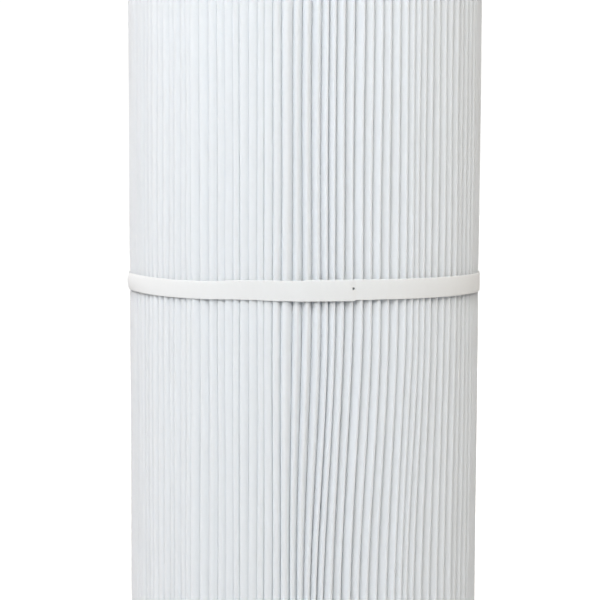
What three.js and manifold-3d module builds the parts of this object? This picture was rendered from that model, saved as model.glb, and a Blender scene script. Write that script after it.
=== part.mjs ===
// A pleated filter cartridge for a pool or spa: a folded sheet of spun-bonded polyester around a
// perforated core, potted into a moulded cap at each end and held by a cloth band at mid-height.
// Millimetres, +Z up along the cartridge's axis. The origin is the centre of the plane that it stands on.
import * as THREE from "three";
import { mergeVertices } from "three/addons/utils/BufferGeometryUtils.js";
import Module from "manifold-3d";

const wasm = await Module();
wasm.setup();

// ---- Driving dimensions ----
const LENGTH = 338.1; // 13-5/16 in, over both caps
const CAP_RADIUS = 62.7; // 4-15/16 in across
const BORE_RADIUS = 27; // 2-1/8 in opening, open at both ends
const CAP_HEIGHT = 16;
const PLEAT_COUNT = 138;
const SHEET_THICKNESS = 0.5;
const BAND_WIDTH = 6.8;
const CORE_SECTIONS = 4;
const GAP = 0.3; // between pieces that touch
const FACETS = 40; // around the caps, rings and potting

// ---- Walls and clearances ----
const COLLAR_WALL = 1.7; // the cap's collar, inside the core's end
const COLLAR_PLAY = 0.7;
const CORE_WALL = 2.6;
const CORE_TO_MEDIA = 0.6;
const SKIRT_WALL = 1.6;
const SKIRT_TO_MEDIA = 0.5;
const POTTING_PLAY = 0.4;
const POTTING_DEPTH = 3.2;

// ---- Radii that follow, from the bore outwards ----
const COLLAR_RADIUS = BORE_RADIUS + COLLAR_WALL;
const CORE_INNER_RADIUS = COLLAR_RADIUS + COLLAR_PLAY;
const CORE_OUTER_RADIUS = CORE_INNER_RADIUS + CORE_WALL;
const ROOT_RADIUS = CORE_OUTER_RADIUS + CORE_TO_MEDIA; // inside of the pleats' inner folds
const SKIRT_INNER_RADIUS = CAP_RADIUS - SKIRT_WALL;
const TIP_RADIUS = SKIRT_INNER_RADIUS - SKIRT_TO_MEDIA; // outside of the pleats' outer folds

// ---- Heights that follow, from the standing plane up ----
const FLOOR_TOP = 4.5; // inside of the cap's floor
const BED_BOTTOM = FLOOR_TOP + GAP;
const BED_TOP = BED_BOTTOM + POTTING_DEPTH;
const MEDIA_BOTTOM = BED_TOP + GAP;

// ---- Solids ----
function positionsOnly(geometry) {
  const bare = (geometry.index ? geometry.toNonIndexed() : geometry).clone();
  bare.deleteAttribute("normal");
  bare.deleteAttribute("uv");
  return mergeVertices(bare, 1e-4);
}

function toSolid(geometry) {
  const merged = positionsOnly(geometry);
  return new wasm.Manifold(
    new wasm.Mesh({
      numProp: 3,
      vertProperties: merged.attributes.position.array,
      triVerts: new Uint32Array(merged.index.array),
    }),
  );
}

function toGeometry(solid) {
  const { vertProperties, triVerts } = solid.getMesh();
  const geometry = new THREE.BufferGeometry();
  geometry.setAttribute("position", new THREE.BufferAttribute(vertProperties, 3));
  geometry.setIndex(new THREE.BufferAttribute(triVerts, 1));
  return geometry;
}

// Turns a closed outline of [radius, z] points, listed anticlockwise, about the Z axis.
function turned(outline, facets = FACETS) {
  const points = outline.map(([radius, z]) => new THREE.Vector2(radius, z));
  points.push(points[0]);
  return new THREE.LatheGeometry(points, facets).rotateX(Math.PI / 2);
}

// Extrudes a closed outline of [x, y] points from one height to another.
function extruded(outline, bottom, top) {
  const shape = new THREE.Shape(outline.map(([x, y]) => new THREE.Vector2(x, y)));
  const geometry = new THREE.ExtrudeGeometry(shape, { depth: top - bottom, bevelEnabled: false });
  return geometry.translate(0, 0, bottom);
}

function ring(inner, outer, bottom, top, facets = FACETS) {
  return turned([[inner, bottom], [outer, bottom], [outer, top], [inner, top]], facets);
}

// A point at a radius and an angle about the axis, moved sideways by an offset square to that radius.
function polar(radius, angle, offset = 0) {
  const cos = Math.cos(angle);
  const sin = Math.sin(angle);
  return [radius * cos - offset * sin, radius * sin + offset * cos];
}

// ---- Materials ----
function material(color, roughness) {
  return new THREE.MeshStandardMaterial({ color, roughness, metalness: 0 });
}

const polyester = material(0xe9edf0, 0.9);
const bandCloth = material(0xeeeeea, 0.9);
const capPlastic = material(0x4f86b8, 0.5);
const corePlastic = material(0xe4e6e4, 0.5);
const resin = material(0xd9cfae, 0.6);
const rubber = material(0x2b2d2f, 0.8);
const hotMelt = material(0xe6dfc8, 0.6);

// ---- End caps ----
// A moulded pan. Its skirt holds the pleats' ends and its collar holds the core's end. The outer face has
// a rim to stand on, a ribbed channel, and a groove for the gasket around the bore.
const GROOVE = { inner: BORE_RADIUS + 3.9, outer: BORE_RADIUS + 12.5, floor: 2.5 };
const CHANNEL = { inner: GROOVE.outer + 1.8, outer: CAP_RADIUS - 4.3, floor: 1.6 };
const LIP_BOTTOM = 0.6; // the bore's lip stands this far above the rim's plane
const LIP_BEVEL = 0.5;
const RETAINER_BOTTOM = 0.9;
const RIM_ROUNDING = 1.2; // where the rim turns up into the skirt
const SKIRT_BEVEL = 0.5;
const COLLAR_TOP = 14;
const RIB = { count: 8, thickness: 1.4, bottom: 0.7, overlap: 0.6 };

function capOutline() {
  const middleOfRounding = RIM_ROUNDING * (1 - Math.SQRT1_2);
  return [
    [BORE_RADIUS, LIP_BOTTOM + LIP_BEVEL],
    [BORE_RADIUS + LIP_BEVEL, LIP_BOTTOM],
    [GROOVE.inner, LIP_BOTTOM],
    [GROOVE.inner, GROOVE.floor],
    [GROOVE.outer, GROOVE.floor],
    [GROOVE.outer, RETAINER_BOTTOM],
    [CHANNEL.inner, RETAINER_BOTTOM],
    [CHANNEL.inner, CHANNEL.floor],
    [CHANNEL.outer, CHANNEL.floor],
    [CHANNEL.outer, 0],
    [CAP_RADIUS - RIM_ROUNDING, 0],
    [CAP_RADIUS - middleOfRounding, middleOfRounding],
    [CAP_RADIUS, RIM_ROUNDING],
    [CAP_RADIUS, CAP_HEIGHT - SKIRT_BEVEL],
    [CAP_RADIUS - SKIRT_BEVEL, CAP_HEIGHT],
    [SKIRT_INNER_RADIUS, CAP_HEIGHT],
    [SKIRT_INNER_RADIUS, FLOOR_TOP],
    [COLLAR_RADIUS, FLOOR_TOP],
    [COLLAR_RADIUS, COLLAR_TOP],
    [BORE_RADIUS, COLLAR_TOP],
  ];
}

// The ribs cross the channel and run a little way into the plastic around it.
function capGeometry() {
  let solid = toSolid(turned(capOutline()));
  const length = CHANNEL.outer - CHANNEL.inner + 2 * RIB.overlap;
  const height = CHANNEL.floor - RIB.bottom + RIB.overlap;
  for (let i = 0; i < RIB.count; i++) {
    const rib = new THREE.BoxGeometry(length, RIB.thickness, height);
    rib.translate((CHANNEL.inner + CHANNEL.outer) / 2, 0, RIB.bottom + height / 2);
    rib.rotateZ((i * 2 * Math.PI) / RIB.count);
    solid = solid.add(toSolid(rib));
  }
  return toGeometry(solid);
}

const GASKET_BOTTOM = 0.2; // above the rim's plane

function gasketGeometry() {
  return ring(GROOVE.inner + GAP, GROOVE.outer - GAP, GASKET_BOTTOM, GROOVE.floor - GAP);
}

function pottingGeometry() {
  const inner = CORE_OUTER_RADIUS + POTTING_PLAY;
  return ring(inner, SKIRT_INNER_RADIUS - POTTING_PLAY, BED_BOTTOM, BED_TOP);
}

// ---- Core ----
// Short moulded lengths, each with rows of windows, that plug into one another.
const CORE = {
  facets: 20,
  columns: 10,
  rows: 4,
  windowWidth: 12.5,
  windowHeight: 12.5,
  windowCut: 8, // through the wall and out on both sides
  rowPitch: 17,
  rowsRaised: 0.75, // from the middle, clear of the socket's shoulder
  spigotLength: 5,
  spigotRadius: CORE_INNER_RADIUS + 1.1,
  spigotPlay: 0.4,
};
const CORE_LENGTH = LENGTH - 2 * BED_BOTTOM;
const SECTION_PITCH = (CORE_LENGTH + GAP) / CORE_SECTIONS;
const SECTION_BODY = SECTION_PITCH - GAP;

function coreOutline(hasSocket, hasSpigot) {
  const { spigotLength, spigotRadius } = CORE;
  const socketRadius = spigotRadius + CORE.spigotPlay;
  const footRadius = hasSocket ? socketRadius : CORE_INNER_RADIUS;
  const head = hasSpigot
    ? [
        [spigotRadius, SECTION_BODY],
        [spigotRadius, SECTION_BODY + spigotLength],
        [CORE_INNER_RADIUS, SECTION_BODY + spigotLength],
      ]
    : [[CORE_INNER_RADIUS, SECTION_BODY]];
  const socketTop = spigotLength + 2 * GAP;
  const shoulder = hasSocket
    ? [[CORE_INNER_RADIUS, socketTop], [socketRadius, socketTop]]
    : [];
  const side = [[footRadius, 0], [CORE_OUTER_RADIUS, 0], [CORE_OUTER_RADIUS, SECTION_BODY]];
  return [...side, ...head, ...shoulder];
}

function coreSectionGeometry(hasSocket, hasSpigot) {
  const { columns, rows, windowCut, windowWidth, windowHeight, rowPitch, rowsRaised } = CORE;
  let solid = toSolid(turned(coreOutline(hasSocket, hasSpigot), CORE.facets));
  const wallMiddle = (CORE_INNER_RADIUS + CORE_OUTER_RADIUS) / 2;
  const firstRow = SECTION_BODY / 2 + rowsRaised - ((rows - 1) * rowPitch) / 2;
  for (let row = 0; row < rows; row++) {
    for (let column = 0; column < columns; column++) {
      const window = new THREE.BoxGeometry(windowCut, windowWidth, windowHeight);
      window.translate(wallMiddle, 0, firstRow + row * rowPitch);
      window.rotateZ((column * 2 * Math.PI) / columns);
      solid = solid.subtract(toSolid(window));
    }
  }
  return toGeometry(solid);
}

// ---- Pleated media ----
// One sheet, folded into pleats that stand out from the core. Its two ends meet in one pleat at the back,
// the seam, whose tip is open and holds a bead of hot melt.
const PLEAT_ANGLE = (2 * Math.PI) / PLEAT_COUNT;
const SEAM_ANGLE = Math.PI / 2;
const OUTSIDE = { root: 0.63, tip: 0.8 }; // half widths of a pleat, outside
const SEAM_TIP_HALF_WIDTH = OUTSIDE.tip + 0.3;
const TIP_THICKENING = 0.1; // the cloth's fold is this much thicker than the cloth

// The sheet's outer and inner outlines over one pleat, as polar points.
function pleatSides(angle, tipHalfWidth) {
  const valley = ROOT_RADIUS + SHEET_THICKNESS;
  const insideTip = TIP_RADIUS - SHEET_THICKNESS - TIP_THICKENING;
  const insideHalf = { root: OUTSIDE.root - SHEET_THICKNESS, tip: tipHalfWidth - SHEET_THICKNESS };
  return {
    outside: [
      polar(TIP_RADIUS, angle, -tipHalfWidth),
      polar(TIP_RADIUS, angle, tipHalfWidth),
      polar(valley, angle + PLEAT_ANGLE / 2),
    ],
    inside: [
      polar(ROOT_RADIUS, angle, -insideHalf.root),
      polar(insideTip, angle, -insideHalf.tip),
      polar(insideTip, angle, insideHalf.tip),
      polar(ROOT_RADIUS, angle, insideHalf.root),
    ],
  };
}

function mediaGeometry() {
  const outside = [];
  const inside = [];
  for (let i = 1; i < PLEAT_COUNT; i++) {
    const sides = pleatSides(SEAM_ANGLE + i * PLEAT_ANGLE, OUTSIDE.tip);
    outside.push(...sides.outside);
    inside.push(...sides.inside);
  }
  const half = SEAM_TIP_HALF_WIDTH;
  const innerHalf = half - SHEET_THICKNESS;
  const rootHalf = OUTSIDE.root - SHEET_THICKNESS;
  const valley = polar(ROOT_RADIUS + SHEET_THICKNESS, SEAM_ANGLE + PLEAT_ANGLE / 2);
  const outline = [
    polar(ROOT_RADIUS, SEAM_ANGLE, rootHalf),
    polar(TIP_RADIUS, SEAM_ANGLE, innerHalf),
    polar(TIP_RADIUS, SEAM_ANGLE, half),
    valley,
    ...outside,
    polar(TIP_RADIUS, SEAM_ANGLE, -half),
    polar(TIP_RADIUS, SEAM_ANGLE, -innerHalf),
    polar(ROOT_RADIUS, SEAM_ANGLE, -rootHalf),
    ...inside.reverse(),
  ];
  return extruded(outline, MEDIA_BOTTOM, LENGTH - MEDIA_BOTTOM);
}

const BEAD = { depth: 10, inset: 0.2, clearance: 0.25 };

// The wedge of hot melt between the sheet's two ends, clear of both.
function seamBeadGeometry() {
  const innerRadius = TIP_RADIUS - BEAD.depth;
  const outerRadius = TIP_RADIUS - BEAD.inset;
  const rootHalf = OUTSIDE.root - SHEET_THICKNESS;
  const tipHalf = SEAM_TIP_HALF_WIDTH - SHEET_THICKNESS;
  const halfAt = (radius) => {
    const share = (radius - ROOT_RADIUS) / (TIP_RADIUS - ROOT_RADIUS);
    return rootHalf + share * (tipHalf - rootHalf) - BEAD.clearance;
  };
  const outline = [
    polar(innerRadius, SEAM_ANGLE, -halfAt(innerRadius)),
    polar(outerRadius, SEAM_ANGLE, -halfAt(outerRadius)),
    polar(outerRadius, SEAM_ANGLE, halfAt(outerRadius)),
    polar(innerRadius, SEAM_ANGLE, halfAt(innerRadius)),
  ];
  return extruded(outline, MEDIA_BOTTOM, LENGTH - MEDIA_BOTTOM);
}

// ---- Band ----
// A strip of the same cloth, wrapped once and lapped over its own start at the front right.
const BAND = {
  thickness: 0.5,
  innerRadius: TIP_RADIUS + GAP,
  steps: 72,
  lapEnd: THREE.MathUtils.degToRad(-90 + 16.5), // where the outer end stops
  lap: THREE.MathUtils.degToRad(15),
  ramp: THREE.MathUtils.degToRad(8),
};

function bandGeometry() {
  const { thickness, innerRadius, steps, lapEnd, lap, ramp } = BAND;
  const start = lapEnd - lap; // the inner end, under the lap
  const total = 2 * Math.PI + lap;
  const climb = thickness + GAP;
  const radiusAt = (along) => {
    const share = THREE.MathUtils.clamp((along - (2 * Math.PI - ramp)) / ramp, 0, 1);
    return innerRadius + climb * share;
  };
  const inner = [];
  const outer = [];
  for (let i = 0; i <= steps; i++) {
    const along = (i / steps) * total;
    inner.push(polar(radiusAt(along), start + along));
    outer.push(polar(radiusAt(along) + thickness, start + along));
  }
  const middle = LENGTH / 2;
  return extruded([...outer, ...inner.reverse()], middle - BAND_WIDTH / 2, middle + BAND_WIDTH / 2);
}

// ---- Assembly ----
const cartridge = new THREE.Group();

function place(parent, name, geometry, meshMaterial) {
  const mesh = new THREE.Mesh(geometry, meshMaterial);
  mesh.name = name;
  parent.add(mesh);
  return mesh;
}

function addEnd(name) {
  const end = new THREE.Group();
  place(end, `${name}_end_cap`, capGeometry(), capPlastic);
  place(end, `${name}_gasket`, gasketGeometry(), rubber);
  place(end, `${name}_potting`, pottingGeometry(), resin);
  cartridge.add(end);
  return end;
}

function addCore() {
  for (let i = 0; i < CORE_SECTIONS; i++) {
    const geometry = coreSectionGeometry(i > 0, i < CORE_SECTIONS - 1);
    const section = place(cartridge, `core_section_${i + 1}`, geometry, corePlastic);
    section.position.z = BED_BOTTOM + i * SECTION_PITCH;
  }
}

addEnd("bottom");
const topEnd = addEnd("top");
topEnd.rotation.x = Math.PI; // the same mouldings, turned over
topEnd.position.z = LENGTH;
addCore();
place(cartridge, "pleated_media", mediaGeometry(), polyester);
place(cartridge, "media_seam_bead", seamBeadGeometry(), hotMelt);
place(cartridge, "middle_band", bandGeometry(), bandCloth);

export default cartridge;
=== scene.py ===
# A pleated filter cartridge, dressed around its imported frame: folded polyester cloth, a cloth band,
# moulded end caps with gaskets, and a perforated core. Metres, in the frame's own axes. The front is -Y.
import math

import bmesh
import bpy
import numpy as np
from mathutils import Matrix, Vector


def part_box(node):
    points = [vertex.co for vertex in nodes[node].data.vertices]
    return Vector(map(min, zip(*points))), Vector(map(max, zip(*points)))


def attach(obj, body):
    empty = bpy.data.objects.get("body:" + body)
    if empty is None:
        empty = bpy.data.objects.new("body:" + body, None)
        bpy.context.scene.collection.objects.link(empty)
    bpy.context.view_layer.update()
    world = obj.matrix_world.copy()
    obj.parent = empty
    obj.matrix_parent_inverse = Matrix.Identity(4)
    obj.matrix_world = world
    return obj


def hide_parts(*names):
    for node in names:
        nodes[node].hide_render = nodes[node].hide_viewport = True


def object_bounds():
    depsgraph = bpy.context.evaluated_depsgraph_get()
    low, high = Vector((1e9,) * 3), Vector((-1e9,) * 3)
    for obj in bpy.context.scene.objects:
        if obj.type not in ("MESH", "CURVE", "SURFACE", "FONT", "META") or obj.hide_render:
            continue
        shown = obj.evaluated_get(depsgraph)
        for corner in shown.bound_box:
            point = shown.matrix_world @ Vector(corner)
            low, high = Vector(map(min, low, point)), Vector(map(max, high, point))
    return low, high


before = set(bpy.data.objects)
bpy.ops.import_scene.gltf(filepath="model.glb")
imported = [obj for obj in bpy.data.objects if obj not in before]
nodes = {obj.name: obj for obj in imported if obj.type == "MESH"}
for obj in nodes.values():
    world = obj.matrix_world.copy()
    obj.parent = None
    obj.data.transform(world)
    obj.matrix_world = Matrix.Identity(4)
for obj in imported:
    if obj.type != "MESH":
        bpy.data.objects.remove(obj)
cad_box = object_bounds()

MM = 0.001
TURN = 2 * math.pi
FRONT = -math.pi / 2  # the angle about Z that faces the camera


def radii(node):
    """The least and the greatest distance of a node's vertices from the axis."""
    spans = [vertex.co.xy.length for vertex in nodes[node].data.vertices]
    return min(spans), max(spans)


# ---- What the frame says ----
media_low, media_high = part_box("pleated_media")
band_low, band_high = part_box("middle_band")
_, cap_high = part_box("bottom_end_cap")
gasket_low, gasket_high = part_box("bottom_gasket")
potting_low, potting_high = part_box("bottom_potting")
BORE_RADIUS, CAP_RADIUS = radii("bottom_end_cap")
GASKET_INNER, GASKET_OUTER = radii("bottom_gasket")
POTTING_INNER, POTTING_OUTER = radii("bottom_potting")
CORE_INNER, CORE_RADIUS = radii("core_section_1")
LENGTH = cad_box[1][2] - cad_box[0][2]
CAP_HEIGHT = cap_high.z
TIP_RADIUS = media_high.x
BAND_MIDDLE = (band_low.z + band_high.z) / 2
BAND_WIDTH = band_high.z - band_low.z

# ---- The cloth ----
PLEATS = 138
PLEAT_ANGLE = TURN / PLEATS
CLOTH = 0.5 * MM  # thickness
SEAM_ANGLE = math.pi / 2  # at the back
SEAM_GAP = 0.62 * MM  # left between the two ends of the cloth for the bead
SEAM_RUN = 6 * MM  # how far in from its cut edges the cloth runs straight beside the bead


def link(name, mesh):
    piece = bpy.data.objects.new(name, mesh)
    bpy.context.scene.collection.objects.link(piece)
    return piece


def mesh_from(name, vertices, faces, sharp_degrees=35):
    mesh = bpy.data.meshes.new(name)
    mesh.from_pydata([tuple(v) for v in vertices], [], faces)
    mesh.validate()
    shell = bmesh.new()
    shell.from_mesh(mesh)
    bmesh.ops.recalc_face_normals(shell, faces=shell.faces)
    shell.to_mesh(mesh)
    shell.free()
    return smoothed(mesh, sharp_degrees)


def smoothed(mesh, sharp_degrees=35):
    mesh.shade_smooth()
    mesh.set_sharp_from_angle(angle=math.radians(sharp_degrees))
    return mesh


def swept_mesh(name, rings, closed, sharp_degrees=35):
    """A tube through closed rings of points, an array of rings by points by XYZ, joined up or capped."""
    count, around = rings.shape[:2]
    faces = []
    for i in range(count if closed else count - 1):
        low, high = i * around, (i + 1) % count * around
        for k in range(around):
            following = (k + 1) % around
            faces.append((low + k, low + following, high + following, high + k))
    if not closed:
        faces.append(tuple(range(around)))
        faces.append(tuple((count - 1) * around + k for k in range(around)))
    return mesh_from(name, rings.reshape(-1, 3), faces, sharp_degrees)


def turned_mesh(name, outline, segments=144, sharp_degrees=35):
    """A closed outline of (radius, z) points, turned about the axis."""
    turn = np.arange(segments) * TURN / segments
    radius, z = np.array(outline, float).T
    flat = np.stack([np.outer(np.cos(turn), radius), np.outer(np.sin(turn), radius)], axis=-1)
    rings = np.concatenate([flat, np.broadcast_to(z[None, :, None], flat.shape[:2] + (1,))], axis=2)
    return swept_mesh(name, rings, True, sharp_degrees)


def rounded(corners, steps=4):
    """A closed outline whose corners, each (radius, z, rounding), are turned into arcs."""
    points = []
    for i, (radius, z, rounding) in enumerate(corners):
        here = Vector((radius, z))
        before = (Vector(corners[i - 1][:2]) - here).normalized()
        after = (Vector(corners[(i + 1) % len(corners)][:2]) - here).normalized()
        if rounding == 0:
            points.append(tuple(here))
            continue
        half = before.angle(after) / 2
        centre = here + (before + after).normalized() * rounding / math.sin(half)
        start = here + before * rounding / math.tan(half) - centre
        end = here + after * rounding / math.tan(half) - centre
        sweep = start.angle_signed(end)
        for k in range(steps + 1):
            angle = -sweep * k / steps
            turned = Matrix.Rotation(angle, 2) @ start
            points.append(tuple(centre + turned))
    return points


def reshaped(mesh, tools, operation):
    """The mesh after a boolean with another: DIFFERENCE or UNION."""
    piece, tool = link("boolean_piece", mesh), link("boolean_tool", tools)
    modifier = piece.modifiers.new("boolean", "BOOLEAN")
    modifier.operation = operation
    modifier.solver = "EXACT"
    modifier.object = tool
    result = bpy.data.meshes.new_from_object(piece.evaluated_get(bpy.context.evaluated_depsgraph_get()))
    result.name = mesh.name
    for spent in (piece, tool):
        bpy.data.objects.remove(spent)
    shell = bmesh.new()
    shell.from_mesh(result)
    bmesh.ops.dissolve_degenerate(shell, edges=shell.edges, dist=0.001 * MM)
    shell.to_mesh(result)
    shell.free()
    return smoothed(result)


def joined_boxes(boxes, rounding, steps=2):
    """One mesh of separate rounded boxes, each (size, matrix)."""
    shell = bmesh.new()
    for size, matrix in boxes:
        made = bmesh.ops.create_cube(shell, size=1, matrix=matrix @ Matrix.Diagonal((*size, 1)))
        edges = list({edge for vertex in made["verts"] for edge in vertex.link_edges})
        bmesh.ops.bevel(shell, geom=edges, offset=rounding, segments=steps, profile=0.5, affect="EDGES")
    mesh = bpy.data.meshes.new("boxes")
    shell.to_mesh(mesh)
    shell.free()
    return mesh


def finish_piece(piece, material, replaced):
    piece.data.materials.clear()
    piece.data.materials.append(material)
    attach(piece, "root")
    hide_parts(*replaced)
    return piece


# ---- Node materials ----
def new_material(name, color, roughness, **sockets):
    """A Principled material. Constant values go straight onto the shader's own sockets."""
    material = bpy.data.materials.new(name)
    material.use_nodes = True
    shader = material.node_tree.nodes["Principled BSDF"]
    shader.inputs["Base Color"].default_value = (*color, 1)
    shader.inputs["Roughness"].default_value = roughness
    for socket, value in sockets.items():
        shader.inputs[socket.replace("_", " ")].default_value = value
    return material, material.node_tree, shader


def add_node(tree, kind, inputs=None, **settings):
    node = tree.nodes.new(kind)
    for name, value in settings.items():
        setattr(node, name, value)
    for socket, value in (inputs or {}).items():
        if isinstance(value, bpy.types.NodeSocket):
            tree.links.new(value, node.inputs[socket])
        else:
            node.inputs[socket].default_value = value
    return node


def noise(tree, vector, scale, detail=3, roughness=0.5):
    inputs = {"Vector": vector, "Scale": scale, "Detail": detail, "Roughness": roughness}
    return add_node(tree, "ShaderNodeTexNoise", inputs).outputs["Fac"]


def scaled(tree, vector, factors):
    inputs = {0: vector, 1: factors}
    return add_node(tree, "ShaderNodeVectorMath", inputs, operation="MULTIPLY").outputs["Vector"]


def blend_colors(tree, factor, first, second):
    mix = add_node(tree, "ShaderNodeMix", data_type="RGBA", blend_type="MIX")
    for index, value in ((0, factor), (6, first), (7, second)):
        if isinstance(value, bpy.types.NodeSocket):
            tree.links.new(value, mix.inputs[index])
        else:
            mix.inputs[index].default_value = value if index == 0 else (*value, 1)
    return mix.outputs[2]


def remap(tree, value, low, high, new_low=0.0, new_high=1.0):
    inputs = {"Value": value, "From Min": low, "From Max": high, "To Min": new_low, "To Max": new_high}
    return add_node(tree, "ShaderNodeMapRange", inputs).outputs["Result"]


def combine(tree, operation, first, second):
    return add_node(tree, "ShaderNodeMath", {0: first, 1: second}, operation=operation).outputs[0]


def bump(tree, height, distance, strength=1.0, normal=None):
    inputs = {"Height": height, "Distance": distance, "Strength": strength}
    if normal is not None:
        inputs["Normal"] = normal
    return add_node(tree, "ShaderNodeBump", inputs).outputs["Normal"]


def cloth_material(name, light, shade, through, share):
    """Spun-bonded polyester: fibres laid at random, pressed flat, over a faint cloudiness of the web.
    A share of the light that falls on it goes through."""
    material, tree, shader = new_material(
        name, light, 0.85, Diffuse_Roughness=1.0,
        Sheen_Weight=0.1, Sheen_Roughness=0.5, Specular_IOR_Level=0.2,
    )
    cloth = add_node(tree, "ShaderNodeAttribute", attribute_name="cloth").outputs["Vector"]
    along = noise(tree, scaled(tree, cloth, (900, 5200, 0)), 1.0, 4, 0.6)
    across = noise(tree, scaled(tree, cloth, (5200, 900, 0)), 1.0, 4, 0.6)
    fibres = combine(tree, "MAXIMUM", along, across)
    clouds = noise(tree, cloth, 420, 3)
    web = combine(tree, "ADD", combine(tree, "MULTIPLY", fibres, 0.6), combine(tree, "MULTIPLY", clouds, 0.4))
    tone = remap(tree, web, 0.35, 0.65)
    tree.links.new(blend_colors(tree, tone, shade, light), shader.inputs["Base Color"])
    tree.links.new(remap(tree, web, 0.3, 0.7, 0.92, 0.78), shader.inputs["Roughness"])
    tree.links.new(bump(tree, web, 0.06 * MM, 0.5), shader.inputs["Normal"])
    glow = add_node(tree, "ShaderNodeBsdfTranslucent", {"Color": (*through, 1)})
    both = add_node(tree, "ShaderNodeMixShader", {0: share, 1: shader.outputs[0], 2: glow.outputs[0]})
    tree.links.new(both.outputs[0], tree.nodes["Material Output"].inputs["Surface"])
    return material


def moulded_material(name, color, roughness, grain=0.5, **sockets):
    """Injection-moulded plastic: a fine spark-eroded grain over faint flow marks."""
    material, tree, shader = new_material(name, color, roughness, **sockets)
    place = add_node(tree, "ShaderNodeTexCoord").outputs["Object"]
    flow = noise(tree, place, 55, 3)
    fine = noise(tree, place, 2600, 2)
    dark = tuple(c * 0.9 for c in color)
    pale = tuple(min(1.0, c * 1.08) for c in color)
    tree.links.new(blend_colors(tree, remap(tree, flow, 0.35, 0.65), dark, pale), shader.inputs["Base Color"])
    uneven = combine(tree, "ADD", combine(tree, "MULTIPLY", flow, 0.16), roughness - 0.08)
    tree.links.new(uneven, shader.inputs["Roughness"])
    tree.links.new(bump(tree, fine, 0.02 * MM, grain), shader.inputs["Normal"])
    return material


def cap_material():
    return moulded_material("cap_plastic", (0.17, 0.36, 0.55), 0.42, 0.6, Specular_IOR_Level=0.5)


def resin_material():
    """Cast resin that has levelled itself, with small bubbles and a slight haze."""
    color = (0.72, 0.65, 0.46)
    material, tree, shader = new_material("potting_resin", color, 0.35, Specular_IOR_Level=0.5)
    place = add_node(tree, "ShaderNodeTexCoord").outputs["Object"]
    haze = noise(tree, place, 120, 4)
    cells = add_node(tree, "ShaderNodeTexVoronoi", {"Vector": place, "Scale": 900.0}).outputs["Distance"]
    bubbles = remap(tree, cells, 0.05, 0.16)
    tint = blend_colors(tree, remap(tree, haze, 0.3, 0.7), (0.66, 0.58, 0.39), (0.78, 0.72, 0.54))
    tree.links.new(tint, shader.inputs["Base Color"])
    tree.links.new(bump(tree, bubbles, 0.1 * MM, 0.5), shader.inputs["Normal"])
    return material


def rubber_material():
    """Closed-cell rubber sheet, matt, with a cut face that shows its cells and a little dust."""
    color = (0.035, 0.037, 0.04)
    material, tree, shader = new_material("gasket_rubber", color, 0.8, Specular_IOR_Level=0.35)
    place = add_node(tree, "ShaderNodeTexCoord").outputs["Object"]
    cells = add_node(tree, "ShaderNodeTexVoronoi", {"Vector": place, "Scale": 1700.0}).outputs["Distance"]
    dust = noise(tree, place, 160, 5)
    tint = blend_colors(tree, remap(tree, dust, 0.4, 0.75), color, (0.085, 0.086, 0.088))
    tree.links.new(tint, shader.inputs["Base Color"])
    tree.links.new(remap(tree, dust, 0.3, 0.7, 0.72, 0.9), shader.inputs["Roughness"])
    tree.links.new(bump(tree, cells, 0.08 * MM, 0.6), shader.inputs["Normal"])
    return material


def adhesive_material():
    """Hot melt: waxy and slightly see-through, with the marks of where it was drawn out."""
    color = (0.78, 0.74, 0.6)
    material, tree, shader = new_material(
        "seam_adhesive", color, 0.35, Subsurface_Weight=0.35, Subsurface_Scale=0.002
    )
    place = add_node(tree, "ShaderNodeTexCoord").outputs["Object"]
    drawn = noise(tree, scaled(tree, place, (700, 700, 90)), 1.0, 3)
    tint = blend_colors(tree, remap(tree, drawn, 0.3, 0.7), (0.7, 0.65, 0.5), (0.84, 0.81, 0.69))
    tree.links.new(tint, shader.inputs["Base Color"])
    tree.links.new(remap(tree, drawn, 0.3, 0.7, 0.28, 0.45), shader.inputs["Roughness"])
    tree.links.new(bump(tree, drawn, 0.1 * MM, 0.5), shader.inputs["Normal"])
    return material


# ---- The pleated media ----
rng = np.random.default_rng(20)
ROOT_FOLD = 0.36 * MM  # radius of the cloth's middle line around an inner fold
ROOT_CENTRE = CORE_RADIUS + 0.75 * MM + ROOT_FOLD + CLOTH / 2
# Pairs of values are for pleats that are pressed together, and then for pleats that stand open.
CLOSING_RUN = (0.4 * MM, 2.0 * MM)  # from an outer fold's centre down to where neighbours all but touch
FLANK_SPACE = 0.05 * MM  # half the space between touching flanks
TIP_FOLD = (0.95 * MM, 0.32 * MM)  # half width of the cloth's middle line at an outer fold
TIP_TILT = np.radians((22, 0))  # how far an outer fold slopes down to the right
TIGHTEST = 0.26 * MM  # radius of the tightest bend that a wide fold has, at its sides
TIP_LEAN = math.radians(0.3)  # where the pleats stand open, their outer folds lean this far to the side
TIP_SPACE = 0.02 * MM  # half the least space between neighbouring outer folds
TIP_INSET = 0.08 * MM  # how far the fullest pleats stay inside the media's outer radius
BAND_SQUEEZE = 0.3 * MM  # how far the band presses the pleats in
BAND_REACH = 9 * MM  # height above and below the band's middle over which they recover
ROOM_RADIUS = TIP_RADIUS - 1.6 * MM  # where the outer folds are widest
TIP_ARC = np.radians([-78, -40, 0, 40, 78])
ROOT_ARC = np.radians([-65, 0, 65])
CROWDING = 0.12  # the pleats' pitch is up to this share wider at one side and narrower at the other
WIDEST = FRONT + math.radians(50)  # where the pitch is widest
OPENING = (-15, -2)  # degrees from the front over which the pleats go from pressed to open
CLOSING = (100, 160)  # and over which they go back
END_ROWS = 13  # rows of vertices between the band's surroundings and each end
NEAR_BAND = np.array([3.4, 4.6, 7.5, 13.0]) * MM  # distances of the closer rows from the band's middle
NEAR_ZONE = 22 * MM  # distance from the band's middle where the even rows start
END_HOLD = 0.05  # length at each end over which the potting holds the pleats straight
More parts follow.
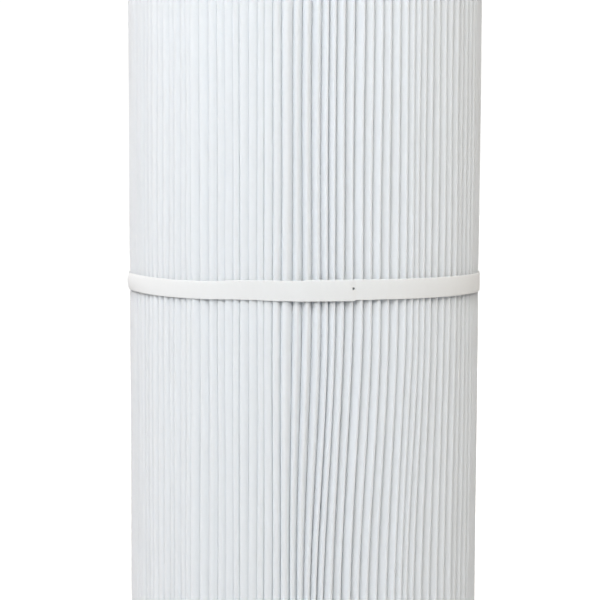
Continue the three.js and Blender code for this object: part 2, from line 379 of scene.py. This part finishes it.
LEAN_BELOW = math.radians(3.6)  # how far the front right pleats lean to the left below the band


def smooth_step(value, low, high):
    share = np.clip((value - low) / (high - low), 0, 1)
    return share * share * (3 - 2 * share)


def row_heights():
    """Heights of the rows of vertices, which are closer together at the band."""
    below = np.linspace(media_low.z, BAND_MIDDLE - NEAR_ZONE, END_ROWS)
    above = np.linspace(BAND_MIDDLE + NEAR_ZONE, media_high.z, END_ROWS)
    near = np.concatenate([-NEAR_BAND[::-1], [0], NEAR_BAND])
    return np.concatenate([below, BAND_MIDDLE + near, above])


def crowded(angles):
    """Even angles from the seam on, closed up on one side of the cartridge and opened on the other."""
    return angles + CROWDING * (np.sin(angles - WIDEST) - math.sin(SEAM_ANGLE - WIDEST))


def from_front(angles):
    """Angles measured from the front, between minus and plus half a turn. They grow to the right."""
    return (angles - FRONT + math.pi) % TURN - math.pi


def openness(angles):
    """1 where the pleats stand open, from the front to the right, and 0 where they are pressed together."""
    side = np.degrees(from_front(angles))
    return smooth_step(side, *OPENING) * (1 - smooth_step(side, *CLOSING))


def by_openness(limits, angles):
    """A value between its pressed and its open limit."""
    return limits[0] + (limits[1] - limits[0]) * openness(angles)


def tip_leans(angles):
    """How far each open pleat's outer fold leans, to either side of a parting at the front."""
    parting = smooth_step(np.degrees(from_front(angles)), -8, 8)
    return TIP_LEAN * (2 * parting - 1) * openness(angles)


def irregular_offsets():
    """Offset of each valley from even spacing: the spacing varies, but never drifts far."""
    kept = 0.88  # of the neighbour's offset
    change, most = 0.16, 0.28  # of the pitch, from one valley to the next
    settled = 5.0  # pleats from the seam where the offsets reach their full size
    offsets = np.zeros(PLEATS)
    for i in range(2, PLEATS):
        offsets[i] = kept * offsets[i - 1] + np.clip(rng.normal(0, change), -most, most) * PLEAT_ANGLE
    ends = np.minimum(np.arange(PLEATS), PLEATS - np.arange(PLEATS)) / settled
    return offsets * np.clip(ends, 0, 1)


def valley_waves(angles, heights):
    """How far each valley wanders sideways with height, in radians: neighbours wander together."""
    shared_waves = 14
    shared_size, own_size = math.radians(0.07), math.radians(0.06)
    own_wavelength = 0.11
    drift = np.zeros((len(heights), len(angles)))
    for _ in range(shared_waves):
        turns = rng.integers(3, 26)
        wavelength = rng.uniform(0.08, 0.26)
        start = rng.uniform(0, TURN)
        size = rng.uniform(0.3, 1.0) * shared_size
        drift += size * np.sin(turns * angles[None, :] + TURN * heights[:, None] / wavelength + start)
    own = rng.normal(0, own_size, len(angles))
    phase = rng.uniform(0, TURN, len(angles))
    drift += own[None, :] * np.sin(TURN * heights[:, None] / own_wavelength + phase[None, :])
    return drift * held_at_ends(heights)[:, None]


def held_at_ends(heights):
    """0 at the potted ends, and 1 away from them."""
    rise = smooth_step(heights, media_low.z, media_low.z + END_HOLD)
    return rise * smooth_step(-heights, -media_high.z, -media_high.z + END_HOLD)


def lean_below_band(angles, heights):
    """Below the band the pleats at the front right lean to the left on their way down."""
    side = np.degrees(from_front(angles))
    patch = smooth_step(side, -9, 12) * (1 - smooth_step(side, 38, 75))
    depth = BAND_MIDDLE - heights
    recovery = 0.75  # share of the lean that is gone again near the bottom cap
    fall = smooth_step(depth, 0.004, 0.105) * (1 - recovery * smooth_step(depth, 0.11, 0.16))
    return -LEAN_BELOW * patch[None, :] * fall[:, None]


def planar(radius, angle, sideways=0.0):
    """X and Y of a point at a radius and an angle, moved sideways, square to that radius."""
    x = radius * np.cos(angle) - sideways * np.sin(angle)
    y = radius * np.sin(angle) + sideways * np.cos(angle)
    return np.stack(np.broadcast_arrays(x, y), axis=-1)


def media_centre_line(heights):
    """The cloth's middle line at each height, an array of rows by points by X and Y, and its tips' angles."""
    even = crowded(SEAM_ANGLE + (np.arange(PLEATS + 1) - 0.5) * PLEAT_ANGLE)
    offsets = np.append(irregular_offsets(), 0)
    valleys = even + offsets + valley_waves(even, heights) + lean_below_band(even, heights)
    valleys[:, [0, 1, -1]] = even[[0, 1, -1]]
    reach = tip_reach(heights)
    fold = tip_fold_widths(even, valleys)
    rise = np.minimum(fold, np.sqrt(TIGHTEST * fold))
    centres = reach - rise - CLOTH / 2
    closing = centres - by_openness(CLOSING_RUN, even[:-1])
    leans = tip_leans(even)
    tilts = by_openness(TIP_TILT, even)

    lines = seam_end(+1, heights) + [closing_point(valleys[:, 1], closing[:, 0], -1)]
    tips = [np.full(len(heights), SEAM_ANGLE)]
    for i in range(1, PLEATS):
        left, right = valleys[:, i], valleys[:, i + 1]
        middle = (left + right) / 2 + leans[i]
        tips.append(middle)
        lines += root_fold(even[i], heights)
        lines.append(closing_point(left, closing[:, i], +1))
        for a in TIP_ARC:
            up, sideways = tilted(rise[i] * math.cos(a), fold[i] * math.sin(a), tilts[i])
            lines.append(planar(centres[:, i] + up, middle, sideways))
        lines.append(closing_point(right, closing[:, i], -1))
    lines += root_fold(even[-1], heights)
    lines += [closing_point(valleys[:, -1], closing[:, 0], +1)] + seam_end(-1, heights)
    tips.append(np.full(len(heights), SEAM_ANGLE + TURN))
    return np.stack(lines, axis=1), np.stack(tips, axis=1)


def under_band(heights):
    """1 at the band's middle, falling to 0 a little above and below the band."""
    return np.exp(-(((heights - BAND_MIDDLE) / BAND_REACH) ** 2))


def tip_reach(heights):
    """Radius of each pleat's edge at each height. Some stop short, but the band evens them out."""
    evened = 0.7  # share of the difference that the band takes out
    short = np.abs(rng.normal(0, 0.2, PLEATS)) * MM
    wave = 0.06 * MM * np.sin(heights[:, None] / 0.017 + rng.uniform(0, TURN, PLEATS))
    squeeze = under_band(heights)[:, None]
    return TIP_RADIUS - TIP_INSET - short * (1 - evened * squeeze) + wave - BAND_SQUEEZE * squeeze


def tip_fold_widths(even, valleys):
    """Half width of each outer fold's middle line: it varies, within the room between the valleys."""
    fold = by_openness(TIP_FOLD, even[:-1]) * (1 + np.clip(rng.normal(0, 0.14, PLEATS), -0.3, 0.3))
    room = np.diff(valleys, axis=1).min(axis=0) * ROOM_RADIUS / 2 - CLOTH / 2 - TIP_SPACE
    return np.maximum(np.minimum(fold, room), CLOTH / 2 + 0.03 * MM)


def tilted(up, sideways, tilt):
    """A point of a fold's section after the section turns clockwise by the tilt."""
    return up * math.cos(tilt) - sideways * math.sin(tilt), sideways * math.cos(tilt) + up * math.sin(tilt)


def closing_point(valley, radius, side):
    """Where the flank on one side of a valley leaves its neighbour, on the way out."""
    return planar(radius, valley, side * (FLANK_SPACE + CLOTH / 2))


def root_fold(angle, heights):
    places = [planar(ROOT_CENTRE - ROOT_FOLD * math.cos(a), angle, ROOT_FOLD * math.sin(a)) for a in ROOT_ARC]
    return [np.repeat(place[None, :], len(heights), axis=0) for place in places]


def seam_end(side, heights):
    """The cloth's end in the seam pleat: its flank runs straight out to a cut edge beside the bead."""
    sideways = side * (SEAM_GAP + CLOTH) / 2
    edge = TIP_RADIUS - (0.1 + 0.32 * under_band(heights)) * MM
    inside = np.full(len(heights), TIP_RADIUS - SEAM_RUN)
    ends = [planar(radius, SEAM_ANGLE, sideways) for radius in (edge, inside)]
    return ends if side > 0 else ends[::-1]


def offset_sides(line, distance):
    """The two faces of a sheet around its middle line, mitred so that its thickness stays even."""
    steps = np.diff(line, axis=1)
    steps /= np.linalg.norm(steps, axis=2, keepdims=True)
    before = np.concatenate([steps[:, :1], steps], axis=1)
    after = np.concatenate([steps, steps[:, -1:]], axis=1)
    along = before + after
    along /= np.linalg.norm(along, axis=2, keepdims=True)
    normal = np.stack([along[..., 1], -along[..., 0]], axis=-1)
    square = np.stack([after[..., 1], -after[..., 0]], axis=-1)
    mitre = np.maximum((normal * square).sum(axis=2, keepdims=True), 0.75)
    return line + normal * distance / mitre, line - normal * distance / mitre


def sheet_mesh(name, line, heights, thickness):
    """A closed sheet that follows a middle line at each height, with the cloth's own coordinates on it."""
    outer, inner = offset_sides(line, thickness / 2)
    rows, points = line.shape[:2]
    ring = np.concatenate([outer, inner[:, ::-1]], axis=1)
    around = ring.shape[1]
    z = np.repeat(heights[:, None, None], around, axis=1)
    vertices = np.concatenate([ring, z], axis=2).reshape(-1, 3)
    faces = []
    for row in range(rows - 1):
        for k in range(around):
            following = (k + 1) % around
            low, high = row * around, (row + 1) * around
            faces.append((low + k, low + following, high + following, high + k))
    top = (rows - 1) * around
    for k in range(points - 1):
        mate = around - 1 - k
        faces.append((k, mate, mate - 1, k + 1))
        faces.append((top + k, top + k + 1, top + mate - 1, top + mate))
    mesh = mesh_from(name, vertices, faces, 60)
    lengths = np.linalg.norm(np.diff(line, axis=1), axis=2)
    distance = np.concatenate([[0], np.cumsum(lengths.mean(axis=0))])
    distance = np.concatenate([distance, distance[::-1]])
    mark_cloth(mesh, *np.broadcast_arrays(distance[None, :], heights[:, None]))
    return mesh, float(lengths.sum(axis=1).mean())


def mark_cloth(mesh, along, across):
    """Gives each vertex its place on the flat cloth, for the material's fibres to follow."""
    own = np.stack([along, across, np.zeros(along.shape)], axis=-1)
    attribute = mesh.attributes.new("cloth", "FLOAT_VECTOR", "POINT")
    attribute.data.foreach_set("vector", own.reshape(-1).astype(np.float32))


def build_media():
    """The folded cloth, and the angles of its tips under the band."""
    heights = row_heights()
    line, tips = media_centre_line(heights)
    mesh, length = sheet_mesh("pleated_cloth", line, heights, CLOTH)
    material = cloth_material(
        "media_cloth", (0.95, 0.965, 0.98), (0.91, 0.935, 0.955), (0.97, 0.985, 1.0), 0.35
    )
    piece = finish_piece(link("pleated_cloth", mesh), material, ["pleated_media"])
    return tips[np.abs(heights - BAND_MIDDLE).argmin()]


# ---- The seam's bead of hot melt ----
BEAD_DEPTH = 9 * MM
BEAD_ROWS = 170
BEAD_RISE = (0.42, 0.16)  # millimetres that it bulges past the cut edges, and how much that varies
BEAD_SPREAD = (0.95, 0.2)  # the bulge's half width in millimetres, and how much that varies


def build_seam_bead():
    """Hot melt pressed between the cloth's two ends. It squeezed out along the cut edges, unevenly."""
    low, high = media_low.z + 0.3 * MM, media_high.z - 0.3 * MM
    heights = np.linspace(low, high, BEAD_ROWS)
    swell = np.zeros(BEAD_ROWS)
    for _ in range(9):
        wavelength = rng.uniform(0.006, 0.06)
        swell += rng.uniform(0.3, 1.0) * np.sin(TURN * heights / wavelength + rng.uniform(0, TURN))
    swell /= np.abs(swell).max()
    pressed = np.exp(-(((heights - BAND_MIDDLE) / (7 * MM)) ** 4))  # under the band
    pressed += 1 - smooth_step(np.minimum(heights - low, high - heights), 4 * MM, 9 * MM)  # inside the caps
    neck = SEAM_GAP / 2 - 0.04 * MM
    brims = TIP_RADIUS + (0.02 - 0.34 * pressed) * MM
    bulge = (BEAD_RISE[0] + BEAD_RISE[1] * swell) * (1 - 0.9 * pressed) * MM
    spread = (BEAD_SPREAD[0] + BEAD_SPREAD[1] * np.roll(swell, 7)) * MM
    arc = np.linspace(0, math.pi, 11)
    inner = TIP_RADIUS - BEAD_DEPTH
    rings = []
    for z, brim, rise, half in zip(heights, brims, bulge, spread):
        section = [(inner + 0.2 * MM, -neck * 0.6), (brim - 0.3 * MM, -neck)]
        section += [(brim + rise * math.sin(a), -half * math.cos(a)) for a in arc]
        section += [(brim - 0.3 * MM, neck), (inner + 0.2 * MM, neck * 0.6), (inner, 0)]
        radius, sideways = np.array(section).T
        ring = planar(radius, SEAM_ANGLE, sideways)
        rings.append(np.column_stack([ring, np.full(len(ring), z)]))
    mesh = swept_mesh("seam_bead", np.array(rings), False, 50)
    return finish_piece(link("seam_bead", mesh), adhesive_material(), ["media_seam_bead"])


# ---- The band ----
BAND_THICKNESS = 0.32 * MM
BAND_SEAT = TIP_RADIUS - 0.2 * MM  # where its inner face lies on the pleats
LAP_END = FRONT + math.radians(15.2)  # where the outer end stops
LAP = math.radians(15)
LAP_RAMP = math.radians(6)
BAND_STEPS = 900
LAP_GAP = 0.06 * MM  # between the two layers
PRESSED = math.radians(1.6)  # length at the outer end that the sealing tool thinned
PRESSED_IN = 0.12 * MM  # how far it pressed the strip's middle in
PRESSED_THIN = 0.6  # share of the thickness that it took away
BAND_DROP = 0.3 * MM  # the outer layer sits this much lower than the inner one
CROWN = 0.1 * MM  # the strip's middle stands out this much further than its edges
LEFT_CROWN = 0.45 * MM  # and this much more at the left side, where it's slack
BAND_TRIM = (0.15 * MM, 0.35 * MM)  # taken off each edge: everywhere, and further at the slack left side
BAND_SAG = 0.3 * MM  # the strip runs this much below its middle height around the back
BAND_LIFT = 0.8 * MM  # and rises this much from there at the front
BAND_WAVE = 0.05 * MM  # how far the strip and its upper edge wander up and down
LOW_EDGE_WAVE = 0.04 * MM  # how far its lower edge wanders
RELIEF = 0.035 * MM  # of the pleats that show through it, and of its creases
CREASE_HEIGHT = (0.45, 0.3)  # middle and width of the creased stretch, in half widths of the strip
PIT_RADII = (0.36 * MM, 0.5 * MM)  # of the sealing tool's tip, inside and outside
PIT_DEPTH = 1.2 * MM
PIT_RISE = 0.9 * MM  # above the nominal middle of the band
PIT_INSET = math.radians(0.55)  # from the lap's end


def band_run(angle):
    """How far the strip's middle runs above its nominal height, and how much its half width shrinks."""
    side = np.degrees(from_front(angle))
    lift = BAND_LIFT * smooth_step(side, -34, -14) * (1 - smooth_step(side, 15, 95)) - BAND_SAG
    slack = smooth_step(side, -160, -110) * (1 - smooth_step(side, -34, -5))
    return lift, BAND_TRIM[0] + BAND_TRIM[1] * slack


def band_section(thickness, half_width):
    """The strip's section, as offsets outwards and upwards: two faces and two round edges."""
    half = thickness / 2
    flat = np.linspace(-1, 1, 9) * (half_width - half)
    arc = np.radians([-60, -20, 20, 60])
    outwards = np.concatenate([np.full(9, half), half * -np.sin(arc), np.full(9, -half), half * np.sin(arc)])
    upwards = np.concatenate(
        [flat, flat[-1] + half * np.cos(arc), flat[::-1], flat[0] - half * np.cos(arc)]
    )
    return outwards, upwards


def ripple(places, count, longest, shortest):
    """A sum of seeded waves around the band, of about unit size."""
    total = np.zeros(places.shape)
    for _ in range(count):
        turns = rng.integers(longest, shortest)
        total += rng.uniform(0.4, 1.0) * np.sin(turns * places + rng.uniform(0, TURN))
    return total / math.sqrt(count)


def build_band(tip_angles):
    total = TURN + LAP
    along = np.linspace(0, total, BAND_STEPS)
    angle = LAP_END - LAP + along
    climb = smooth_step(along, TURN - LAP_RAMP, TURN) * (BAND_THICKNESS + LAP_GAP)
    pressed = smooth_step(along, total - PRESSED, total)
    climb -= PRESSED_IN * pressed
    thickness = BAND_THICKNESS * (1 - PRESSED_THIN * pressed)
    phase = np.interp((angle - SEAM_ANGLE) % TURN, tip_angles - SEAM_ANGLE, np.arange(PLEATS + 1))
    over_tips = np.cos(TURN * phase)
    sway = ripple(angle, 6, 3, 14) * BAND_WAVE
    top_edge = ripple(angle, 8, 8, 60) * BAND_WAVE
    low_edge = ripple(angle, 8, 8, 60) * LOW_EDGE_WAVE
    drop = BAND_DROP * smooth_step(along, TURN - 2 * LAP, TURN)
    creases = ripple(angle, 10, 20, 120) * RELIEF
    left = -np.degrees(from_front(angle))
    crowns = CROWN + LEFT_CROWN * smooth_step(left, 50, 85) * (1 - smooth_step(left, 110, 150))
    lift, trim = band_run(angle)
    rings = []
    for i in range(BAND_STEPS):
        half_width = BAND_WIDTH / 2 - trim[i]
        outwards, upwards = band_section(thickness[i], half_width)
        height = upwards / half_width
        edge = np.where(height > 0, top_edge[i], low_edge[i]) * np.abs(height)
        scallop = RELIEF * over_tips[i] * (0.4 + 0.6 * height**2)
        crease = creases[i] * np.exp(-(((height - CREASE_HEIGHT[0]) / CREASE_HEIGHT[1]) ** 2))
        crown = crowns[i] * np.clip(1 - height**2, 0, 1)
        radius = BAND_SEAT + BAND_THICKNESS / 2 + climb[i] + outwards + scallop + crease + crown
        z = BAND_MIDDLE + lift[i] - drop[i] + sway[i] + upwards + edge
        rings.append(np.column_stack([planar(radius, angle[i]), z]))
    rings = np.array(rings)
    mesh = swept_mesh("middle_band_cloth", rings, False, 50)
    distance = np.broadcast_to((along * TIP_RADIUS)[:, None], rings.shape[:2])
    mark_cloth(mesh, distance, rings[..., 2])
    mesh = reshaped(mesh, weld_mark(), "DIFFERENCE")
    material = cloth_material(
        "band_cloth", (0.885, 0.895, 0.9), (0.845, 0.855, 0.855), (0.95, 0.95, 0.94), 0.15
    )
    return finish_piece(link("middle_band_cloth", mesh), material, ["middle_band"])


def weld_mark():
    """The pit that the tip of a sealing tool left near the end of the lap."""
    mesh = bpy.data.meshes.new("weld_mark")
    shell = bmesh.new()
    centre = planar(BAND_SEAT + 0.5 * MM, LAP_END - PIT_INSET)
    lift = Matrix.Translation((centre[0], centre[1], BAND_MIDDLE + PIT_RISE))
    turn = Matrix.Rotation(LAP_END, 4, "Z") @ Matrix.Rotation(math.pi / 2, 4, "Y")
    bmesh.ops.create_cone(
        shell, segments=14, cap_ends=True, radius1=PIT_RADII[0], radius2=PIT_RADII[1],
        depth=PIT_DEPTH, matrix=lift @ turn,
    )
    shell.to_mesh(mesh)
    shell.free()
    return mesh


# ---- The end caps, their gaskets and their potting ----
FLOOR_TOP = potting_low.z - 0.3 * MM  # inside of a cap's floor
SKIRT_INNER = POTTING_OUTER + 0.4 * MM
COLLAR_OUTER = CORE_INNER - 0.7 * MM
COLLAR_TOP = 14 * MM
GROOVE_INNER = GASKET_INNER - 0.3 * MM
GROOVE_OUTER = GASKET_OUTER + 0.3 * MM
GROOVE_FLOOR = gasket_high.z + 0.3 * MM
CHANNEL_INNER = GROOVE_OUTER + 1.8 * MM
CHANNEL_OUTER = CAP_RADIUS - 4.3 * MM
CHANNEL_FLOOR = 1.6 * MM
LIP_BOTTOM = 0.6 * MM
RETAINER_BOTTOM = 0.9 * MM
RIBS = 8
RIB_THICKNESS = 1.4 * MM
RIB_BOTTOM = 0.7 * MM
PIN_RADIUS = 2.4 * MM  # an ejector pin's mark
PIN_DEPTH = 0.25 * MM
SKIRT_LINE = 0.25 * MM  # depth of the two fine lines turned around the skirt


def cap_outline():
    bead = 1.6 * MM  # between the skirt's fine lines and its ends
    line = 0.5 * MM
    return rounded([
        (BORE_RADIUS, LIP_BOTTOM, 0.6 * MM),
        (GROOVE_INNER, LIP_BOTTOM, 0.4 * MM),
        (GROOVE_INNER, GROOVE_FLOOR, 0.2 * MM),
        (GROOVE_OUTER, GROOVE_FLOOR, 0.2 * MM),
        (GROOVE_OUTER, RETAINER_BOTTOM, 0.4 * MM),
        (CHANNEL_INNER, RETAINER_BOTTOM, 0.4 * MM),
        (CHANNEL_INNER, CHANNEL_FLOOR, 0.3 * MM),
        (CHANNEL_OUTER, CHANNEL_FLOOR, 0.4 * MM),
        (CHANNEL_OUTER, 0, 0.4 * MM),
        (CAP_RADIUS, 0, 1.2 * MM),
        (CAP_RADIUS, CAP_HEIGHT - bead - line, 0.12 * MM),
        (CAP_RADIUS - SKIRT_LINE, CAP_HEIGHT - bead - line / 2, 0.12 * MM),
        (CAP_RADIUS, CAP_HEIGHT - bead, 0.12 * MM),
        (CAP_RADIUS, CAP_HEIGHT, 0.6 * MM),
        (SKIRT_INNER, CAP_HEIGHT, 0.45 * MM),
        (SKIRT_INNER, FLOOR_TOP, 0.4 * MM),
        (COLLAR_OUTER, FLOOR_TOP, 0.4 * MM),
        (COLLAR_OUTER, COLLAR_TOP, 0.5 * MM),
        (BORE_RADIUS, COLLAR_TOP, 0.5 * MM),
    ])


def ribs_mesh():
    overlap = 0.8 * MM
    length = CHANNEL_OUTER - CHANNEL_INNER + 2 * overlap
    height = CHANNEL_FLOOR - RIB_BOTTOM + overlap
    middle = Matrix.Translation(((CHANNEL_INNER + CHANNEL_OUTER) / 2, 0, RIB_BOTTOM + height / 2))
    turns = [Matrix.Rotation(i * TURN / RIBS, 4, "Z") for i in range(RIBS)]
    return joined_boxes([((length, RIB_THICKNESS, height), turn @ middle) for turn in turns], 0.3 * MM, 3)


def pin_marks_mesh():
    """The round marks that ejector pins leave in a moulding's channel, midway between the ribs."""
    shell = bmesh.new()
    middle = (CHANNEL_INNER + CHANNEL_OUTER) / 2
    for i in range(RIBS):
        turn = Matrix.Rotation((i + 0.5) * TURN / RIBS, 4, "Z")
        place = turn @ Matrix.Translation((middle, 0, CHANNEL_FLOOR))
        bmesh.ops.create_cone(
            shell, segments=40, cap_ends=True, radius1=PIN_RADIUS, radius2=PIN_RADIUS,
            depth=2 * PIN_DEPTH, matrix=place,
        )
    mesh = bpy.data.meshes.new("pin_marks")
    shell.to_mesh(mesh)
    shell.free()
    return mesh


def cap_mesh():
    mesh = turned_mesh("end_cap", cap_outline())
    mesh = reshaped(mesh, ribs_mesh(), "UNION")
    return reshaped(mesh, pin_marks_mesh(), "DIFFERENCE")


def gasket_mesh():
    low, high = gasket_low.z, gasket_high.z
    inner, outer = GASKET_INNER, GASKET_OUTER
    edge = 0.25 * MM
    corners = [(inner, low, edge), (outer, low, edge), (outer, high, edge), (inner, high, edge)]
    return turned_mesh("gasket", rounded(corners, 3))


def potting_mesh():
    """The resin levelled itself, and crept a little way up both walls."""
    low, high = potting_low.z, potting_high.z
    creep = 0.7 * MM
    level = high - creep
    width = 2.4 * MM
    share = np.linspace(0, 1, 7)
    climb = level + creep * (1 - share) ** 2
    outline = [(POTTING_INNER, low), (POTTING_OUTER, low)]
    outline += list(zip(POTTING_OUTER - width * share, climb))
    outline += list(zip(POTTING_INNER + width * share[::-1], climb[::-1]))
    return turned_mesh("potting", outline)


def build_ends():
    pieces = (
        ("end_cap", cap_mesh(), cap_material(), "cap_plastic"),
        ("gasket", gasket_mesh(), rubber_material(), "gasket_rubber"),
        ("potting", potting_mesh(), resin_material(), "potting_resin"),
    )
    turned_over = Matrix.Translation((0, 0, LENGTH)) @ Matrix.Rotation(math.pi, 4, "X")
    for kind, mesh, material, slot in pieces:
        for end in ("bottom", "top"):
            own = mesh.copy()
            if end == "top":
                own.transform(turned_over)
            finish_piece(link(f"{end}_{kind}_moulding", own), material, [f"{end}_{kind}"])


# ---- The core ----
CORE_COLUMNS = 10
CORE_ROWS = 4
WINDOW = 12.5 * MM
WINDOW_ROUNDING = 2 * MM
ROW_PITCH = 17 * MM
ROWS_RAISED = 0.75 * MM
SPIGOT_LENGTH = 5 * MM
SPIGOT_RADIUS = CORE_INNER + 1.1 * MM
SOCKET_RADIUS = SPIGOT_RADIUS + 0.4 * MM
SOCKET_DEPTH = 5.6 * MM


def core_outline(body, has_socket, has_spigot):
    edge = 0.4 * MM
    foot = SOCKET_RADIUS if has_socket else CORE_INNER
    corners = [(foot, 0, edge), (CORE_RADIUS, 0, edge), (CORE_RADIUS, body, edge)]
    if has_spigot:
        corners.append((SPIGOT_RADIUS, body, 0.2 * MM))
        corners.append((SPIGOT_RADIUS, body + SPIGOT_LENGTH, edge))
        corners.append((CORE_INNER, body + SPIGOT_LENGTH, edge))
    else:
        corners.append((CORE_INNER, body, edge))
    if has_socket:
        corners.append((CORE_INNER, SOCKET_DEPTH, 0.3 * MM))
        corners.append((SOCKET_RADIUS, SOCKET_DEPTH, 0.2 * MM))
    return rounded(corners)


def core_windows(body):
    first = body / 2 + ROWS_RAISED - (CORE_ROWS - 1) * ROW_PITCH / 2
    middle = (CORE_INNER + CORE_RADIUS) / 2
    boxes = []
    for row in range(CORE_ROWS):
        for column in range(CORE_COLUMNS):
            turn = Matrix.Rotation(column * TURN / CORE_COLUMNS, 4, "Z")
            place = Matrix.Translation((middle, 0, first + row * ROW_PITCH))
            boxes.append(((20 * MM, WINDOW, WINDOW), turn @ place))
    return joined_boxes(boxes, WINDOW_ROUNDING, 5)


def build_core():
    material = moulded_material("core_plastic", (0.8, 0.81, 0.8), 0.45, 0.35, Specular_IOR_Level=0.45)
    for i in range(1, 5):
        low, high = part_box(f"core_section_{i}")
        has_socket, has_spigot = i > 1, i < 4
        body = high.z - low.z - (SPIGOT_LENGTH if has_spigot else 0)
        mesh = turned_mesh(f"core_length_{i}", core_outline(body, has_socket, has_spigot), 120)
        mesh = reshaped(mesh, core_windows(body), "DIFFERENCE")
        mesh.transform(Matrix.Translation((0, 0, low.z)))
        finish_piece(link(f"core_length_{i}", mesh), material, [f"core_section_{i}"])


tip_angles = build_media()
build_seam_bead()
build_band(tip_angles)
build_ends()
build_core()

# ---- Stage, light and camera ----
CAMERA_REACH = 9.4 * TIP_RADIUS  # from the axis
CAMERA_RISE = 0.662 * TIP_RADIUS  # above the middle of the band
CAMERA_PITCH = math.radians(4.79)
CAMERA_YAW = math.radians(0.147)
CAMERA_ROLL = math.radians(0.18)
CAMERA_LENS = 98.3
LIGHT_SIZE = 0.6  # side of each square light
FLOOR_LIFT = 1.0  # what the camera sees of the floor is lifted to the white of the background
WORLD_LIGHT = 0.15  # strength of the even light from all round
WORLD_SEEN = 1.05  # strength with which the camera sees the background


def build_camera():
    camera = bpy.data.objects.new("camera", bpy.data.cameras.new("camera"))
    bpy.context.scene.collection.objects.link(camera)
    camera.data.lens = CAMERA_LENS
    camera.data.sensor_width = 36
    place = Matrix.Translation((0, -CAMERA_REACH, BAND_MIDDLE + CAMERA_RISE))
    turn = Matrix.Rotation(CAMERA_YAW, 4, "Z") @ Matrix.Rotation(math.pi / 2 - CAMERA_PITCH, 4, "X")
    camera.matrix_world = place @ turn @ Matrix.Rotation(CAMERA_ROLL, 4, "Z")
    bpy.context.scene.camera = camera


def build_floor():
    bpy.ops.mesh.primitive_circle_add(vertices=96, radius=6, fill_type="NGON", location=(0, 0, 0))
    floor = bpy.context.active_object
    floor.name = "floor"
    material, tree, shader = new_material("floor", (0.6, 0.6, 0.6), 0.6, Specular_IOR_Level=0.2)
    path = add_node(tree, "ShaderNodeLightPath")
    lift = combine(tree, "MULTIPLY", path.outputs["Is Camera Ray"], FLOOR_LIFT)
    glow = add_node(tree, "ShaderNodeEmission", {"Strength": lift})
    both = add_node(tree, "ShaderNodeAddShader", {0: shader.outputs[0], 1: glow.outputs[0]})
    tree.links.new(both.outputs[0], tree.nodes["Material Output"].inputs["Surface"])
    floor.data.materials.append(material)


def area_light(name, azimuth, elevation, distance, power, color):
    """A square light that faces the object. Azimuth 0 is the front, and it grows to the right."""
    light = bpy.data.objects.new(name, bpy.data.lights.new(name, "AREA"))
    bpy.context.scene.collection.objects.link(light)
    light.data.shape = "SQUARE"
    light.data.size = LIGHT_SIZE
    light.data.energy = power
    light.data.color = color
    aim = Vector((0, 0, BAND_MIDDLE))
    angle = FRONT + math.radians(azimuth)
    rise = math.radians(elevation)
    away = Vector((math.cos(angle) * math.cos(rise), math.sin(angle) * math.cos(rise), math.sin(rise)))
    light.location = aim + away * distance
    light.rotation_euler = away.to_track_quat("Z", "Y").to_euler()


def build_world():
    world = bpy.data.worlds.new("studio")
    bpy.context.scene.world = world
    world.use_nodes = True
    tree = world.node_tree
    background = tree.nodes["Background"]
    background.inputs["Color"].default_value = (1, 1, 1, 1)
    background.inputs["Strength"].default_value = WORLD_LIGHT
    seen = add_node(tree, "ShaderNodeBackground", {"Color": (1, 1, 1, 1), "Strength": WORLD_SEEN})
    path = add_node(tree, "ShaderNodeLightPath")
    chosen = add_node(tree, "ShaderNodeMixShader", {0: path.outputs["Is Camera Ray"]})
    tree.links.new(background.outputs[0], chosen.inputs[1])
    tree.links.new(seen.outputs[0], chosen.inputs[2])
    tree.links.new(chosen.outputs[0], tree.nodes["World Output"].inputs["Surface"])


build_camera()
build_floor()
build_world()
area_light("front", 2, 36, 0.87, 5.4, (1.0, 0.97, 0.9))
area_light("front_left", -30, 42, 0.8, 2.7, (0.7, 0.82, 1.0))
area_light("left", -100, 35, 0.95, 4.6, (1.0, 0.82, 0.66))
area_light("right", 60, 20, 1.3, 0.9, (1.0, 0.65, 0.4))
area_light("back_right", 156, 25, 1.2, 7.5, (1.0, 0.97, 0.94))
bpy.context.scene.view_settings.view_transform = "Standard"
bpy.context.scene.cycles.diffuse_bounces = 8
